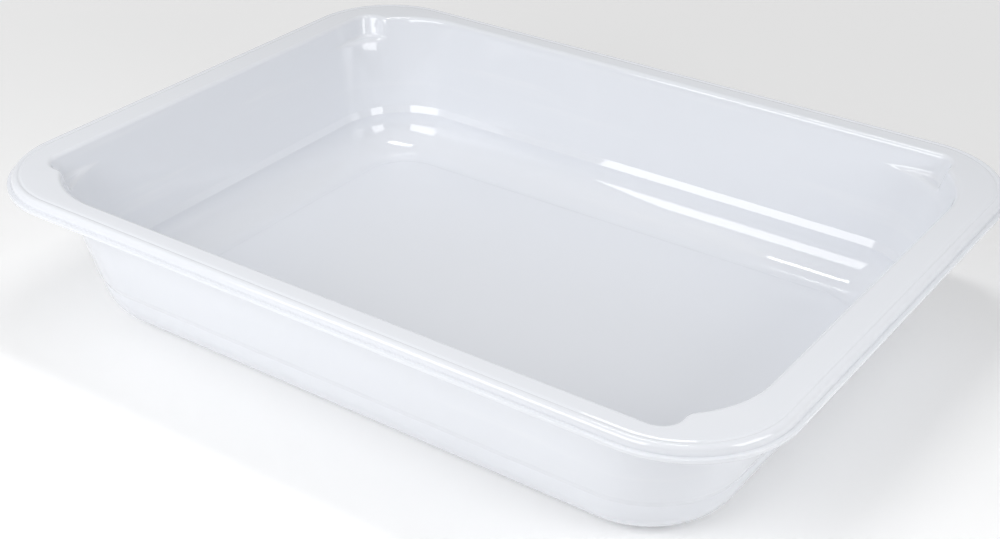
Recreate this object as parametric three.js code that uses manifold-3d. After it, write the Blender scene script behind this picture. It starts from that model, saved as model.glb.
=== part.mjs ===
// Developing tray: one shell of vacuum-formed white plastic sheet.
// Millimetres, +Z up. The origin is on the underside, at the middle of the tray; the length runs along X.
import * as THREE from 'three';
import { mergeVertices } from 'three/addons/utils/BufferGeometryUtils.js';
import Module from 'manifold-3d';

// Overall sizes, over the trimmed lip
const trayLength = 470;
const trayWidth = 354;
const trayHeight = 87;

// Plastic sheet, and the smooth white finish it is moulded in
const sheet = 2.2;
const whitePlastic = { color: 0xe6e8ee, roughness: 0.25, metalness: 0 };

// Rim: a flat band, then a convex roll that ends in a short trimmed lip
const endBandWidth = 16;
const sideBandWidth = 11;
const rollReach = 5.6;
const rollDrop = 4.4;
const rollStart = THREE.MathUtils.degToRad(68);
const lipReach = 1.3;
const lipThickness = 1.6;
const rimCornerRadius = 51;

// Well: drafted walls, an edge fillet at the rim, and a rounded heel between wall and floor
const wallDraft = THREE.MathUtils.degToRad(13.5);
const wellCornerRadius = 58.5;
const floorCornerRadius = 30;
const edgeFillet = 3;
const heelRadius = 24.5;

// Stacking pockets in the four corners. At the -X end they run along the short side,
// and at the +X end along the long sides, so that a tray turned end for end can't nest.
const pocketDepth = 13;
const pocketCornerRadius = 12;
const pocketInset = 0.4;
const pocketOverrun = 20;
const shortSidePocketEnd = 19;
const longSidePocketEnd = 18;

// Fineness of the facets
const cornerSteps = 14;
const rollSteps = 7;
const filletSteps = 4;
const heelSteps = 9;
const pocketCornerSteps = 5;

// How far the cutting solid stands above the rim, so that it cuts right through
const cutClearance = 2;

const bandTop = trayHeight;
const crease = {
  x: trayLength / 2 - rollReach - lipReach,
  y: trayWidth / 2 - rollReach - lipReach,
  radius: rimCornerRadius,
};
const well = {
  x: crease.x - endBandWidth,
  y: crease.y - sideBandWidth,
  radius: wellCornerRadius,
};
const wallRun = Math.tan(wallDraft);
const sheetAcross = sheet / Math.cos(wallDraft);

const wasm = await Module();
wasm.setup();

// A ring is a rounded rectangle at one height: a base outline grown by an offset.
function ring(base, offset, z, radius = base.radius + offset) {
  return { x: base.x + offset, y: base.y + offset, radius, z };
}

function ringPoints({ x, y, radius, z }) {
  const points = [];
  const corners = [[1, 1], [-1, 1], [-1, -1], [1, -1]];
  corners.forEach(([sx, sy], quarter) => {
    for (let step = 0; step <= cornerSteps; step += 1) {
      const angle = (quarter + step / cornerSteps) * Math.PI / 2;
      points.push(new THREE.Vector3(
        sx * (x - radius) + radius * Math.cos(angle),
        sy * (y - radius) + radius * Math.sin(angle),
        z,
      ));
    }
  });
  return points;
}

// Skins a stack of loops, from the lowest to the last, and closes both ends with a flat fan.
function loft(loops) {
  const count = loops[0].length;
  const positions = loops.flat().flatMap((point) => point.toArray());
  const indices = [];
  for (let level = 0; level + 1 < loops.length; level += 1) {
    for (let i = 0; i < count; i += 1) {
      const next = (i + 1) % count;
      const a = level * count + i;
      const b = level * count + next;
      indices.push(a, b, b + count, a, b + count, a + count);
    }
  }
  const last = (loops.length - 1) * count;
  for (let i = 1; i + 1 < count; i += 1) {
    indices.push(0, i + 1, i);
    indices.push(last, last + i, last + i + 1);
  }
  const geometry = new THREE.BufferGeometry();
  geometry.setAttribute('position', new THREE.Float32BufferAttribute(positions, 3));
  geometry.setIndex(indices);
  return geometry;
}

function toSolid(geometry) {
  geometry.deleteAttribute('normal');
  geometry.deleteAttribute('uv');
  const merged = mergeVertices(geometry);
  return new wasm.Manifold(new wasm.Mesh({
    numProp: 3,
    vertProperties: new Float32Array(merged.attributes.position.array),
    triVerts: new Uint32Array(merged.index.array),
  }));
}

function toGeometry(solid) {
  const mesh = solid.getMesh();
  const geometry = new THREE.BufferGeometry();
  geometry.setAttribute('position', new THREE.Float32BufferAttribute(mesh.vertProperties, 3));
  geometry.setIndex(Array.from(mesh.triVerts));
  geometry.computeVertexNormals();
  return geometry;
}

function arc(steps, from, to, place) {
  return Array.from({ length: steps + 1 }, (_, i) => place(from + (to - from) * i / steps));
}

// The heel is a quarter round, from the flat of the floor to the foot of the wall.
const heelTop = sheet + heelRadius;
const wallFootOffset = -wallRun * (bandTop - heelTop);
const heelCentreOffset = wallFootOffset - heelRadius;

// The round corners of the well get tighter from the rim down to the floor.
function wellRadius(offset) {
  return THREE.MathUtils.mapLinear(offset, heelCentreOffset, 0, floorCornerRadius, wellCornerRadius);
}

// The heel's inner skin has no thickness added, and its outer skin has the sheet's.
function heelRings(thickness) {
  return arc(heelSteps, Math.PI / 2, 0, (angle) => {
    const innerOffset = heelCentreOffset + heelRadius * Math.cos(angle);
    return ring(
      well,
      innerOffset + thickness * Math.cos(angle),
      heelTop - (heelRadius + thickness) * Math.sin(angle),
      wellRadius(innerOffset) + thickness * Math.cos(angle),
    );
  });
}

// The well is everything inside the tray, up through the filleted edge of the band.
function wellSolid() {
  const filletTurn = Math.PI / 2 - wallDraft;
  const filletStart = edgeFillet * Math.tan(filletTurn / 2);
  const edge = arc(filletSteps, filletTurn, 0, (angle) => ring(
    well,
    filletStart - edgeFillet * Math.sin(angle),
    bandTop - edgeFillet * (1 - Math.cos(angle)),
  ));
  const above = ring(well, filletStart, bandTop + cutClearance);
  return toSolid(loft([...heelRings(0), ...edge, above].map(ringPoints)));
}

// The form is the tray filled in: outer wall, underside of the rim, lip, roll and band.
function formSolid() {
  const wallTopOffset = sheetAcross - wallRun * sheet;
  const underBand = bandTop - sheet;
  const lipBottom = bandTop - rollDrop - lipThickness;
  const rollAngles = { from: Math.PI / 2 - rollStart, to: Math.PI / 2 };
  const rollLift = Math.cos(rollAngles.from);
  const rollShift = Math.sin(rollAngles.from);
  const rollPoint = (angle, inward) => ring(
    crease,
    (rollReach - inward) * (Math.sin(angle) - rollShift) / (1 - rollShift),
    bandTop - inward - (rollDrop - inward) * (rollLift - Math.cos(angle)) / rollLift,
  );
  const inside = arc(rollSteps, rollAngles.from, rollAngles.to, (angle) => rollPoint(angle, sheet));
  const outside = arc(rollSteps, rollAngles.to, rollAngles.from, (angle) => rollPoint(angle, 0));
  return toSolid(loft([
    ...heelRings(sheet),
    ring(well, wallTopOffset, underBand),
    ...inside,
    ring(crease, rollReach - sheet, lipBottom),
    ring(crease, rollReach + lipReach, lipBottom),
    ring(crease, rollReach + lipReach, lipBottom + lipThickness),
    ...outside,
  ].map(ringPoints)));
}

// A pocket runs on in line with a wall, past the start of the round corner, to a flat end.
// This is its outline for the +X +Y corner, grown all round by the thickness around it.
// Its inner edges lie in the open well, where they cut nothing.
function pocketLoop(half, grow, z) {
  const draw = wallRun * (bandTop - z);
  const outerX = half.x - draw + grow;
  const outerY = half.y - draw + grow;
  const innerX = half.x - pocketOverrun - wellCornerRadius * half.runX;
  const innerY = half.y - pocketOverrun - wellCornerRadius * half.runY;
  const radius = pocketCornerRadius + grow;
  const points = [new THREE.Vector3(innerX, innerY, z), new THREE.Vector3(outerX, innerY, z)];
  for (let step = 0; step <= pocketCornerSteps; step += 1) {
    const angle = step / pocketCornerSteps * Math.PI / 2;
    points.push(new THREE.Vector3(
      outerX - radius + radius * Math.cos(angle),
      outerY - radius + radius * Math.sin(angle),
      z,
    ));
  }
  points.push(new THREE.Vector3(innerX, outerY, z));
  return points;
}

// Turns a loop made for the +X +Y corner into another corner, still running anticlockwise.
function placeLoop(points, sx, sy) {
  const placed = points.map((point) => new THREE.Vector3(sx * point.x, sy * point.y, point.z));
  return sx * sy < 0 ? placed.reverse() : placed;
}

const pocketHalves = {
  shortSide: { x: well.x - pocketInset, y: well.y - shortSidePocketEnd, runX: 0, runY: 1 },
  longSide: { x: well.x - longSidePocketEnd, y: well.y - pocketInset, runX: 1, runY: 0 },
};
const pocketPlaces = [
  { half: pocketHalves.shortSide, sx: -1, sy: -1 },
  { half: pocketHalves.shortSide, sx: -1, sy: 1 },
  { half: pocketHalves.longSide, sx: 1, sy: -1 },
  { half: pocketHalves.longSide, sx: 1, sy: 1 },
];

function pocketSolid({ half, sx, sy }, grow, bottom, top) {
  const loops = [bottom, top].map((z) => placeLoop(pocketLoop(half, grow, z), sx, sy));
  return toSolid(loft(loops));
}

function trayGeometry() {
  const ledge = bandTop - pocketDepth;
  const bulges = pocketPlaces.map((place) => pocketSolid(place, sheet, ledge - sheet, bandTop - sheet / 2));
  const hollows = pocketPlaces.map((place) => pocketSolid(place, 0, ledge, bandTop + cutClearance));
  let shell = formSolid();
  bulges.forEach((bulge) => {
    shell = shell.add(bulge);
  });
  shell = shell.subtract(wellSolid());
  hollows.forEach((hollow) => {
    shell = shell.subtract(hollow);
  });
  return toGeometry(shell);
}

const tray = new THREE.Group();
const shellMesh = new THREE.Mesh(trayGeometry(), new THREE.MeshStandardMaterial(whitePlastic));
shellMesh.name = 'tray_shell';
tray.add(shellMesh);

export default tray;
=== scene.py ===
import math

import bmesh
import bpy
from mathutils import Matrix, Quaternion, Vector


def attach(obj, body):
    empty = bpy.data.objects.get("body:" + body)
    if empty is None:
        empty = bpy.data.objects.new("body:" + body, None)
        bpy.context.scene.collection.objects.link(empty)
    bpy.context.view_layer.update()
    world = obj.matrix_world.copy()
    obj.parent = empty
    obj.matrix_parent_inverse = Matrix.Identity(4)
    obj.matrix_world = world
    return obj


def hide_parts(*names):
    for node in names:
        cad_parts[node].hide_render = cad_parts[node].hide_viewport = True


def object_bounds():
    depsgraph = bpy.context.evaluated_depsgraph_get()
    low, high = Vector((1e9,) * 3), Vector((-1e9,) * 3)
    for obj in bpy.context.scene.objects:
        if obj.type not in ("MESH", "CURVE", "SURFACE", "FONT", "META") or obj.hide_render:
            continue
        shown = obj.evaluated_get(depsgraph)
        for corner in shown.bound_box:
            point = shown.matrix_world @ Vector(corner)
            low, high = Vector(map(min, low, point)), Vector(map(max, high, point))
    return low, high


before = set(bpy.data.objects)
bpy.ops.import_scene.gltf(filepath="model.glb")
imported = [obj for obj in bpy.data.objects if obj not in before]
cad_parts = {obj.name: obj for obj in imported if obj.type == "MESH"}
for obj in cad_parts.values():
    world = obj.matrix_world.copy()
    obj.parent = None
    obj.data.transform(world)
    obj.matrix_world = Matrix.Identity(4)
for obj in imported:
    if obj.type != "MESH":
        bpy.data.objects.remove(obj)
cad_low, cad_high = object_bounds()
bpy.ops.object.select_all(action="DESELECT")

# ---------------------------------------------------------------------------------------------
# Tray shell. One sheet of white gloss plastic, vacuum-formed over a tool and trimmed round the
# rim. It is grown here ring by ring, from the floor out over the heel, wall, stacking pockets,
# band and roll to the trimmed lip, and then given one thickness all over.
half_length = cad_high.x
half_width = cad_high.y
band_top = cad_high.z
sheet = 0.0022

# Every ring has the same stops, so that each ring joins the next. They are closest together
# round the middle of each corner, where the pockets end.
CORNERS = [(1, 1), (-1, 1), (-1, -1), (1, -1)]
CORNER_DEGREES = [0, 4, 8, 12, 15, *range(17, 74), 75, 78, 82, 86, 90]
CORNER_ANGLES = [math.radians(degrees) for degrees in CORNER_DEGREES]
SIDE_STEPS = 14


def closed_ring(corner_point):
    """Points of one closed ring, anticlockwise as seen from above: the stops round each corner,
    then those along the straight side that leads to the next."""
    corners = []
    for sx, sy in CORNERS:
        angles = CORNER_ANGLES if sx * sy > 0 else CORNER_ANGLES[::-1]
        corners.append([corner_point(sx, sy, angle) for angle in angles])
    points = []
    for corner, next_corner in zip(corners, corners[1:] + corners[:1]):
        points += corner
        for step in range(1, SIDE_STEPS):
            points.append(corner[-1].lerp(next_corner[0], step / SIDE_STEPS))
    return points


def outline(centre_x, centre_y, z, reach):
    """A level ring, from its reach outwards from each corner's centre at an angle."""

    def corner_point(sx, sy, angle):
        out = reach(sx, angle)
        x = centre_x + out * math.cos(angle)
        y = centre_y + out * math.sin(angle)
        return Vector((sx * x, sy * y, z))

    return closed_ring(corner_point)


def rounded(half_x, half_y, radius, z):
    """A level ring with plain round corners."""
    return outline(half_x - radius, half_y - radius, z, lambda sx, angle: radius)


rings = []
show_rings = []


def add_ring(points, show_points=None):
    """One ring of the sheet's show side. Where the show side is crisper than the back of the
    sheet, its own points are kept beside the smooth ones that the thickness is grown from."""
    rings.append(points)
    show_rings.append(show_points or points)


# Plan. The crease is the line between the band and the roll. The well's edge is where the
# line of its wall meets the top of the band, and offsets in the well are outwards from there.
roll_reach = 0.0046
lip_reach = 0.0023
crease_x = half_length - roll_reach - lip_reach
crease_y = half_width - roll_reach - lip_reach
end_band_width = 0.016
side_band_width = 0.011
well_x = crease_x - end_band_width
well_y = crease_y - side_band_width
well_corner = 0.0585
floor_corner = 0.030
floor_edge = -0.0390
foot_level = sheet


def corner_radius(offset):
    """The well's corners tighten evenly from the rim down to the edge of the floor. Inside that
    edge they keep its centres."""
    tightening = (well_corner - floor_corner) * max(offset, floor_edge) / -floor_edge
    inside_floor = min(offset - floor_edge, 0)
    return well_corner + tightening + inside_floor


def well_outline(offset, z):
    """A ring of the well without its pockets."""
    return rounded(well_x + offset, well_y + offset, corner_radius(offset), z)


# Floor panel. Its show side stands a little above the heel's foot, with a soft edge, and its
# underside is flat, for the tray to rest on.
panel_rise = 0.00035
panel_edge = 0.0030
panel_insets = (0.022, 0.012, 0.006)
panel_edge_steps = 12
for inset in panel_insets:
    offset = floor_edge - inset
    add_ring(well_outline(offset, foot_level), well_outline(offset, foot_level + panel_rise))
for i in range(panel_edge_steps + 1):
    t = i / panel_edge_steps
    offset = floor_edge - panel_edge * (1 - t)
    show_level = foot_level + panel_rise * (1 - t * t * (3 - 2 * t))
    add_ring(well_outline(offset, foot_level), well_outline(offset, show_level))

# Heel: a concave quarter round up to the shoulder.
heel_reach = 0.0233
heel_rise = 0.0228
heel_top = foot_level + heel_rise
heel_steps = 24
for i in range(1, heel_steps + 1):
    a = math.pi / 2 * i / heel_steps
    add_ring(well_outline(floor_edge + heel_reach * math.sin(a), heel_top - heel_rise * math.cos(a)))

# Shoulder: a small convex turn, a sloping land that runs up to meet the wall, and a concave turn
# into it. Slopes are measured from level.
wall_slope = math.radians(76.5)
wall_lean = 1 / math.tan(wall_slope)
shoulder_slope = math.radians(65)
shoulder_radius = 0.0032
shoulder_show_radius = 0.0007
convex_steps = 6
concave_steps = 5


def wall_offset(z):
    """Where the leaning wall is at a height."""
    return -wall_lean * (band_top - z)


def turn_points(start, radius, first, last, steps):
    """An arc of the profile, running outwards from its start and from one slope to another."""
    side = 1 if last > first else -1
    points = []
    for i in range(1, steps + 1):
        a = first + (last - first) * i / steps
        points.append((
            start[0] + side * radius * (math.sin(a) - math.sin(first)),
            start[1] + side * radius * (math.cos(first) - math.cos(a)),
        ))
    return points


def add_turn(start, first, last, steps):
    """Rings round a turn between two straights, which is tighter on the show side, and its end."""
    spare = (shoulder_radius - shoulder_show_radius) * math.tan(abs(last - first) / 2)
    show_start = (start[0] + spare * math.cos(first), start[1] + spare * math.sin(first))
    smooth = turn_points(start, shoulder_radius, first, last, steps)
    crisp = turn_points(show_start, shoulder_show_radius, first, last, steps)
    for smooth_point, crisp_point in zip(smooth, crisp):
        add_ring(well_outline(*smooth_point), well_outline(*crisp_point))
    return smooth[-1]


land_out, land_up = add_turn(
    (floor_edge + heel_reach, heel_top), math.pi / 2, shoulder_slope, convex_steps
)
turn_out, turn_up = turn_points((0, 0), shoulder_radius, shoulder_slope, wall_slope, 1)[-1]
wall_gap = wall_offset(land_up + turn_up) - land_out - turn_out
land = wall_gap / (math.cos(shoulder_slope) - wall_lean * math.sin(shoulder_slope))
land_end = (land_out + land * math.cos(shoulder_slope), land_up + land * math.sin(shoulder_slope))
add_ring(well_outline(*land_end))
wall_foot = add_turn(land_end, shoulder_slope, wall_slope, concave_steps)[1]

# Wall up to the pockets' ledges. A ledge's curves have the same radius at its foot and its top.
pocket_depth = 0.013
ledge_radius = 0.0025
ledge_level = band_top - pocket_depth
ledge_low = ledge_level - ledge_radius
ledge_high = ledge_level + ledge_radius
wall_steps = 8
for i in range(1, wall_steps):
    z = wall_foot + (ledge_low - wall_foot) * i / wall_steps
    add_ring(well_outline(wall_offset(z), z))

# Stacking pockets. Above its ledge each pocket runs on in line with a wall, past the start of
# the round corner: with the short side at the -X end, and with a long side at the +X end.
pocket_corner = 0.011
pocket_join = 0.006
short_side_end = 0.019
long_side_end = 0.018
ledge_steps = 22


def ray_circle(angle, cx, cy, r, far):
    """Distance along a ray from the origin to a circle, on its far or near side."""
    along = cx * math.cos(angle) + cy * math.sin(angle)
    across = cx * math.sin(angle) - cy * math.cos(angle)
    root = math.sqrt(max(r * r - across * across, 0.0))
    return along + root if far else along - root


def pocket_reach(angle, wall, end, corner, join):
    """How far a pocket's outline is from the corner's centre: along the wall, round the pocket's
    own corner, back along its end, and through a small reversed curve onto the big corner."""
    join_x = math.sqrt((wall + join) ** 2 - (end + join) ** 2)
    turn = math.atan2(end - corner, wall)
    turned = math.atan2(end, wall - corner)
    meets = math.atan2(end, join_x)
    leaves = math.atan2(end + join, join_x)
    if angle <= turn:
        return wall / math.cos(angle)
    if angle <= turned:
        return ray_circle(angle, wall - corner, end - corner, corner, True)
    if angle <= meets:
        return end / math.sin(angle)
    if angle <= leaves:
        return ray_circle(angle, join_x, end + join, join, False)
    return wall


def pocketed(radius, grow=0.0):
    """The reach of a corner that has its pocket, whose small curves grow with the outline."""
    corner = pocket_corner + grow
    join = pocket_join - grow

    def reach(sx, angle):
        if sx < 0:
            return pocket_reach(angle, radius, radius - short_side_end, corner, join)
        return pocket_reach(math.pi / 2 - angle, radius, radius - long_side_end, corner, join)

    return reach


def ledge_point(width, share):
    """A point of the ledge's profile, at a share of its length: out, and up from its level.
    Two equal curves turn it out and up again, with a flat between them where there is room."""
    turn = math.acos(max(1 - width / (2 * ledge_radius), 0.0))
    flat = max(width - 2 * ledge_radius, 0.0)
    upright = ledge_radius * (1 - math.sin(turn))
    curve = ledge_radius * turn
    s = share * (2 * upright + 2 * curve + flat)
    if s <= upright:
        return 0.0, s - ledge_radius
    s -= upright
    if s <= curve:
        a = s / ledge_radius
        return ledge_radius * (1 - math.cos(a)), ledge_radius * (math.sin(a) - math.sin(turn))
    s -= curve
    if s <= flat:
        return ledge_radius + s, 0.0
    s -= flat
    if s <= curve:
        a = turn - s / ledge_radius
        return width - ledge_radius * (1 - math.cos(a)), ledge_radius * (math.sin(turn) - math.sin(a))
    s -= curve
    return width, ledge_radius * math.sin(turn) + s


mid_radius = corner_radius(wall_offset(ledge_level))
mid_reach = pocketed(mid_radius)


def ledge_ring(share):
    """A ring at a share of the ledges' profile. Where there is no pocket, it follows the wall."""

    def corner_point(sx, sy, angle):
        width = max(mid_reach(sx, angle) - mid_radius, 0.0)
        out, up = ledge_point(width, share)
        z = ledge_level + up
        offset = wall_offset(z)
        radius = corner_radius(offset)
        x = well_x + offset - radius + (radius + out) * math.cos(angle)
        y = well_y + offset - radius + (radius + out) * math.sin(angle)
        return Vector((sx * x, sy * y, z))

    return closed_ring(corner_point)


for i in range(ledge_steps + 1):
    add_ring(ledge_ring(i / ledge_steps))

# Wall above the ledges, with the pockets in its outline.
edge_radius = 0.003
edge_foot = band_top - edge_radius * (1 - math.cos(wall_slope))
upper_wall_steps = 4
for i in range(1, upper_wall_steps):
    z = ledge_high + (edge_foot - ledge_high) * i / upper_wall_steps
    offset = wall_offset(z)
    radius = corner_radius(offset)
    add_ring(outline(well_x + offset - radius, well_y + offset - radius, z, pocketed(radius)))

# Rounded edge, over onto the band.
edge_start = edge_radius * math.tan(wall_slope / 2)
edge_steps = 7
for i in range(edge_steps + 1):
    a = wall_slope * (1 - i / edge_steps)
    z = band_top - edge_radius * (1 - math.cos(a))
    grow = edge_start - edge_radius * math.sin(a)
    reach = pocketed(well_corner + grow, grow)
    add_ring(outline(well_x - well_corner, well_y - well_corner, z, reach))

# Band: flat, out to the fine groove that sets it off from the roll.
rim_corner = 0.051
band_inset = 0.0035
groove_width = 0.0028
groove_depth = 0.00036
groove_steps = 12


def rim_outline(offset, z):
    """A ring of the rim, at an offset outwards from the crease."""
    return rounded(crease_x + offset, crease_y + offset, rim_corner + offset, z)


add_ring(rim_outline(-band_inset, band_top))
for i in range(groove_steps + 1):
    t = i / groove_steps
    offset = groove_width * (t - 0.5)
    depth = groove_depth * math.sin(math.pi * t) ** 2
    add_ring(rim_outline(offset, band_top), rim_outline(offset, band_top - depth))

# Roll: from level to almost upright, a little squarer than an ellipse.
roll_drop = 0.0044
roll_start = groove_width / 2
roll_square = 0.86
roll_turn = math.radians(89)
roll_steps = 22
for i in range(1, roll_steps + 1):
    a = roll_turn * i / roll_steps
    out = roll_start + (roll_reach - roll_start) * math.sin(a) ** roll_square
    down = roll_drop * (1 - math.cos(a) ** roll_square)
    add_ring(rim_outline(out, band_top - down))

# Lip: a short level flange, trimmed square, which a tight bend joins to the roll.
lip_level = band_top - roll_drop
lip_end = roll_reach + lip_reach
bend_out = 0.00012
bend_up = 0.00003
lip_stops = (0.0003, 0.0008, lip_reach)
add_ring(rim_outline(roll_reach + bend_out, lip_level + bend_up))
for out in lip_stops:
    add_ring(rim_outline(roll_reach + out, lip_level))

# The show side is drawn from one circle, whose edges are extruded from ring to ring. Each
# vertex keeps its ring and its stop on that ring.
bpy.ops.mesh.primitive_circle_add(vertices=len(rings[0]), radius=0.1, fill_type="NOTHING")
tray = bpy.context.object
tray.name = "tray_shell_formed"
tray.data.name = "tray_shell_formed"
tray.data.attributes.new("stop", "INT", "POINT")
tray.data.attributes.new("ring", "INT", "POINT")
for vertex, point in zip(tray.data.vertices, rings[0]):
    vertex.co = point
    tray.data.attributes["stop"].data[vertex.index].value = vertex.index
bpy.ops.object.mode_set(mode="EDIT")
bpy.ops.mesh.select_mode(type="EDGE")
for i in range(1, len(rings)):
    bpy.ops.mesh.extrude_edges_move()
    mesh = bmesh.from_edit_mesh(tray.data)
    stop_layer = mesh.verts.layers.int["stop"]
    ring_layer = mesh.verts.layers.int["ring"]
    for vertex in mesh.verts:
        if vertex.select:
            vertex[ring_layer] = i
            vertex.co = rings[i][vertex[stop_layer]]
    bmesh.update_edit_mesh(tray.data)

# The floor panel closes the first ring, and the whole show side faces up and into the well.
bpy.ops.mesh.select_all(action="DESELECT")
mesh = bmesh.from_edit_mesh(tray.data)
for edge in mesh.edges:
    if edge.is_boundary and edge.verts[0].co.z < heel_top:
        edge.select_set(True)
bmesh.update_edit_mesh(tray.data)
bpy.ops.mesh.edge_face_add()
bpy.ops.mesh.select_all(action="SELECT")
bpy.ops.mesh.normals_make_consistent(inside=False)
mesh = bmesh.from_edit_mesh(tray.data)
panel = min(mesh.faces, key=lambda face: face.calc_center_median().length)
if panel.normal.z < 0:
    bpy.ops.mesh.flip_normals()
bpy.ops.object.mode_set(mode="OBJECT")
show_side = len(tray.data.vertices)

# The sheet's thickness, all on the hidden side.
bpy.ops.object.modifier_add(type="SOLIDIFY")
thickness = tray.modifiers[-1]
thickness.thickness = sheet
thickness.offset = -1
thickness.use_even_offset = True
thickness.use_quality_normals = True
bpy.ops.object.modifier_apply(modifier=thickness.name)

# The show side takes the crisper lines of the tool that it was drawn down onto.
stop_numbers = [item.value for item in tray.data.attributes["stop"].data]
ring_numbers = [item.value for item in tray.data.attributes["ring"].data]
for vertex in tray.data.vertices[:show_side]:
    vertex.co = show_rings[ring_numbers[vertex.index]][stop_numbers[vertex.index]]
tray.data.attributes.remove(tray.data.attributes["stop"])
tray.data.attributes.remove(tray.data.attributes["ring"])

# The trimmed edge is eased with a scraper.
eased_edge = 0.00055
ease_steps = 3
soft_angle = math.radians(38)
same_place = 0.00001


def outside_lip(point):
    """How far a point is outside the trimmed edge, seen from above. Inside, it is below zero."""
    x = max(abs(point.x) - (crease_x - rim_corner), 0)
    y = max(abs(point.y) - (crease_y - rim_corner), 0)
    return math.hypot(x, y) - rim_corner - lip_end


bpy.ops.object.mode_set(mode="EDIT")
bpy.ops.mesh.select_all(action="DESELECT")
mesh = bmesh.from_edit_mesh(tray.data)
for edge in mesh.edges:
    is_level = abs(edge.verts[0].co.z - edge.verts[1].co.z) < same_place
    if is_level and all(outside_lip(vertex.co) > -same_place for vertex in edge.verts):
        edge.select_set(True)
bmesh.update_edit_mesh(tray.data)
bpy.ops.mesh.bevel(offset=eased_edge, segments=ease_steps, affect="EDGES")
bpy.ops.object.mode_set(mode="OBJECT")
bpy.ops.object.shade_smooth_by_angle(angle=soft_angle)


class Wire:
    """A socket of a finish, for arithmetic: an expression on wires adds its Math nodes."""

    def __init__(self, finish, socket):
        self.finish = finish
        self.socket = socket

    def math(self, operation, *others):
        return self.finish.add("ShaderNodeMath", {"operation": operation}, self, *others)

    def __add__(self, other):
        return self.math("ADD", other)

    def __mul__(self, other):
        return self.math("MULTIPLY", other)

    def __truediv__(self, other):
        return self.math("DIVIDE", other)

    def __rsub__(self, other):
        return self.finish.add("ShaderNodeMath", {"operation": "SUBTRACT"}, other, self)

    __radd__ = __add__
    __rmul__ = __mul__

    def part(self, name):
        """Another output of the same node."""
        return Wire(self.finish, self.socket.node.outputs[name])


class Finish:
    """The nodes of a material or of the surround, and the one way that a node is added."""

    def __init__(self, owner):
        owner.use_nodes = True
        self.tree = owner.node_tree
        self.tree.nodes.clear()

    def add(self, kind, settings=None, *values, **named):
        """A node, with its settings first. Its sockets take values or wires, in order or by name."""
        node = self.tree.nodes.new(kind)
        for key, value in (settings or {}).items():
            setattr(node, key, value)
        sockets = [socket for socket in node.inputs if socket.enabled]
        pairs = list(zip(sockets, values))
        pairs += [(node.inputs[key.replace("_", " ")], value) for key, value in named.items()]
        for socket, value in pairs:
            if isinstance(value, Wire):
                self.tree.links.new(value.socket, socket)
            else:
                socket.default_value = value
        outputs = [socket for socket in node.outputs if socket.enabled]
        return Wire(self, outputs[0]) if outputs else None


def fade(wire, first, last, low=0.0, high=1.0):
    """A smooth step from low to high, as the wire goes from first to last."""
    settings = {"interpolation_type": "SMOOTHSTEP"}
    return wire.finish.add("ShaderNodeMapRange", settings, wire, first, last, low, high)


# White gloss plastic: a cool white that clouds a little, with the fine orange peel and slow waves
# of a drawn sheet. The floor of the well has a duller skin.
cool_white = (0.806, 0.828, 0.872, 1)
soft_white = (0.824, 0.843, 0.884, 1)
cloud_size = 0.09
peel_size = 0.006
peel_height = 0.000007
wave_size = 0.045
wave_height = 0.00007
least_roughness = 0.02
cloud_dulling = 0.02
floor_dulling = 0.24
skin_full_level = 0.0024
skin_end_level = 0.0034

white_gloss_plastic = bpy.data.materials.new("white_gloss_plastic")
plastic = Finish(white_gloss_plastic)
place = plastic.add("ShaderNodeTexCoord").part("Object")


def pattern(size, detail, roughness=0.5):
    """Noise from 0 to 1, of a size in metres."""
    return plastic.add(
        "ShaderNodeTexNoise", {}, Vector=place, Scale=1 / size, Detail=detail, Roughness=roughness
    )


height = plastic.add("ShaderNodeSeparateXYZ", {}, place).part("Z")
floor_skin = fade(height, skin_end_level, skin_full_level)
orange_peel = pattern(peel_size, 2.0)
slow_wave = pattern(wave_size, 1.0)
cloud = pattern(cloud_size, 3.0)
tint = plastic.add("ShaderNodeMix", {"data_type": "RGBA"}, cloud, cool_white, soft_white)

# Painted reflections: faint pale streaks that lie level on the walls, mixed into the base colour in
# place of the soft reflections of the lights and the bright room.
reflection_white = (0.86, 0.875, 0.905, 1)
reflection_squeeze = (5.0, 5.0, 70.0)
reflection_begins = 0.56
reflection_full = 0.72
reflection_strength = 0.5
squeezed = plastic.add("ShaderNodeVectorMath", {"operation": "MULTIPLY"}, place, reflection_squeeze)
reflection_noise = plastic.add("ShaderNodeTexNoise", {}, Vector=squeezed, Scale=1.0, Detail=4.0, Roughness=0.55)
# Painted reflection streaks, kept off the floor panel and mixed over the tint.
painted_reflections = fade(reflection_noise, reflection_begins, reflection_full, 0.0, reflection_strength) * (1 - floor_skin)
tint = plastic.add("ShaderNodeMix", {"data_type": "RGBA"}, painted_reflections, tint, reflection_white)

relief = orange_peel * peel_height + slow_wave * wave_height
dullness = least_roughness + cloud * cloud_dulling + floor_skin * floor_dulling
bumps = plastic.add("ShaderNodeBump", {}, Strength=1.0, Distance=1.0, Height=relief)
surface = plastic.add(
    "ShaderNodeBsdfPrincipled", Base_Color=tint, Roughness=dullness, IOR=1.58, Normal=bumps
)
plastic.add("ShaderNodeOutputMaterial", {}, surface)
tray.data.materials.clear()
tray.data.materials.append(white_gloss_plastic)

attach(tray, "root")
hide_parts("tray_shell")

# ---------------------------------------------------------------------------------------------
# Floor. A plain pale sheet that the tray rests on, matt and wide enough to fill every view. Its
# soft glow is weak under the tray and stronger away from it.
floor_size = 12
floor_white = (0.94, 0.94, 0.94, 1)
floor_glow = 0.4
glow_near = 0.3
glow_far = 1.3
glow_under_tray = 0.25

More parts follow.
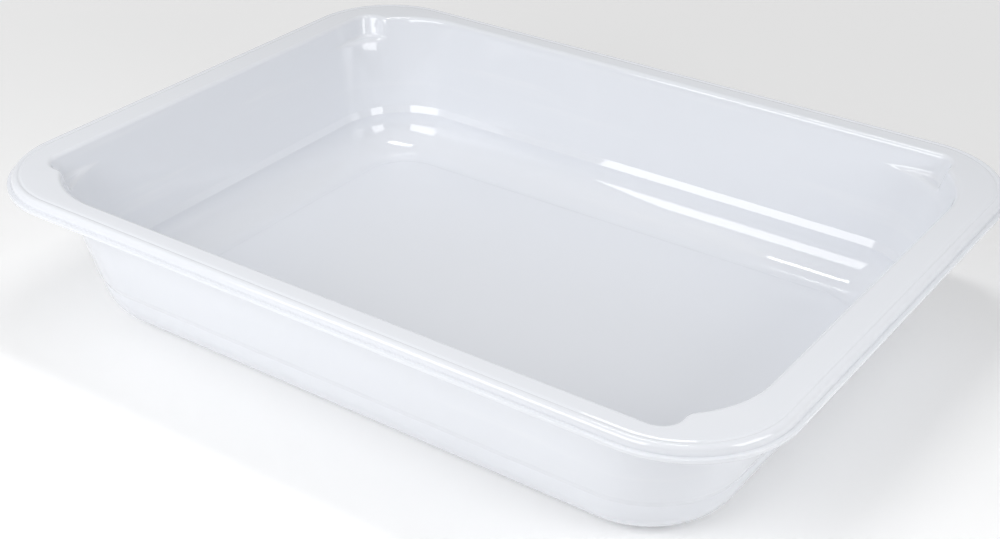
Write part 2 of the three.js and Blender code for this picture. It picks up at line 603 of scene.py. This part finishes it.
bpy.ops.mesh.primitive_plane_add(size=floor_size, location=(0, 0, 0))
floor = bpy.context.object
floor.name = "floor"
pale_floor = bpy.data.materials.new("pale_floor")
paper = Finish(pale_floor)
spot = paper.add("ShaderNodeTexCoord").part("Object")
away = paper.add("ShaderNodeVectorMath", {"operation": "LENGTH"}, spot).part("Value")
paper_surface = paper.add(
    "ShaderNodeBsdfPrincipled",
    Base_Color=floor_white,
    Roughness=0.9,
    Emission_Color=fade(away, glow_near, glow_far, glow_under_tray, 1.0),
    Emission_Strength=floor_glow,
)
paper.add("ShaderNodeOutputMaterial", {}, paper_surface)
floor.data.materials.append(pale_floor)

# ---------------------------------------------------------------------------------------------
# Light. Three soft boxes, in a pale room whose walls are brightest behind the tray and to its
# left.
ceiling = 0.42
right_wall = 0.17
left_wall = 0.56
front_wall = 0.19
back_wall = 0.66
ceiling_begins = 0.35
ceiling_full = 0.85
never_zero = 0.0001

studio = bpy.data.worlds.new("studio")
bpy.context.scene.world = studio
room = Finish(studio)
heading = room.add("ShaderNodeTexCoord").part("Generated")
east = room.add("ShaderNodeSeparateXYZ", {}, heading)
north = east.part("Y")
upward = east.part("Z")


def towards(part):
    """How squarely a ray heads for one wall, squared, so that four walls share it fully."""
    facing = part.math("MAXIMUM", 0)
    return facing * facing


walls = (
    towards(east) * right_wall
    + towards(east * -1) * left_wall
    + towards(north * -1) * front_wall
    + towards(north) * back_wall
) / (east * east + north * north + never_zero)
overhead = fade(upward, ceiling_begins, ceiling_full)
brightness = overhead * ceiling + (1 - overhead) * walls
background = room.add("ShaderNodeBackground", {}, (1, 1, 1, 1), brightness)
room.add("ShaderNodeOutputWorld", {}, background)


def soft_box(name, centre, facing, wide, high, brightness):
    """A rectangular light, as bright all over as its brightness says, whatever its size."""
    light = bpy.data.lights.new(name, "AREA")
    light.shape = "RECTANGLE"
    light.size = wide
    light.size_y = high
    light.energy = brightness * math.pi * wide * high
    box = bpy.data.objects.new(name, light)
    bpy.context.scene.collection.objects.link(box)
    box.location = centre
    box.rotation_mode = "QUATERNION"
    box.rotation_quaternion = Vector(facing).to_track_quat("-Z", "Y")


soft_box("front_box", (-0.147, -0.69, 0.498), (0, 1, 0), wide=0.676, high=0.456, brightness=4.2)
soft_box("side_box", (0.69, -0.08, 0.39), (-1, 0, 0), wide=0.3, high=0.42, brightness=4.0)
soft_box("top_box", (-0.06, 0.08, 1.0), (0, 0, -1), wide=0.45, high=0.13, brightness=10)
bpy.context.scene.view_settings.view_transform = "Standard"

# ---------------------------------------------------------------------------------------------
# Camera. It looks down into the tray from in front and to its right, as a person would who
# stands at the bench. The angles are of the line from the tray back to the camera.
focal_length = 59.198
sensor_width = 36
viewpoint = (0.45672, -0.65998, 0.48385)
azimuth = math.radians(34.9046)
elevation = math.radians(29.7422)
tilt = math.radians(0.424)

camera = bpy.data.objects.new("camera", bpy.data.cameras.new("camera"))
bpy.context.scene.collection.objects.link(camera)
bpy.context.scene.camera = camera
camera.data.lens = focal_length
camera.data.sensor_width = sensor_width
camera.location = viewpoint
back = Vector((
    math.sin(azimuth) * math.cos(elevation),
    -math.cos(azimuth) * math.cos(elevation),
    math.sin(elevation),
))
camera.rotation_mode = "QUATERNION"
camera.rotation_quaternion = (-back).to_track_quat("-Z", "Y") @ Quaternion((0, 0, 1), tilt)
